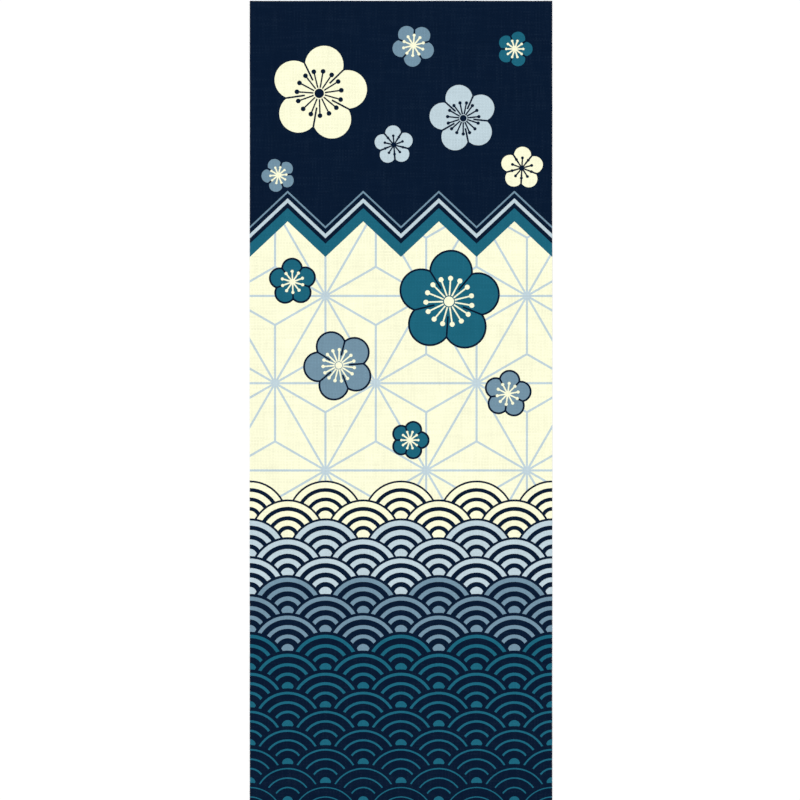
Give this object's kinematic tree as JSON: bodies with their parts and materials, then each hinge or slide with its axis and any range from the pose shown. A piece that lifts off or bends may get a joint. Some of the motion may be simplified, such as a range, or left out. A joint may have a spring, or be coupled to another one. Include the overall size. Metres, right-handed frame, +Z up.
{
  "type": "tenugui towel",
  "caption": "Flat rectangular hand towel of thin plain-weave cotton, selvedges on its long sides and unhemmed cut ends, dyed in navy, cream, teal and grey-blue.",
  "frame": {"origin": "middle of the underside, on the surface that the cloth lies on", "axes": "+X across the cloth from selvedge to selvedge, +Y up the cloth along its length towards the top of the dyed design, +Z up, out of the face"},
  "size_m": [0.34, 0.9, 0.001],
  "materials": {
    "dyed_cotton": "matte plain-weave cotton, dyed through in navy, cream, teal, pale grey-blue and grey-blue"
  },
  "bodies": {
    "root": {"cotton_cloth": "dyed_cotton"}
  },
  "joints": []
}
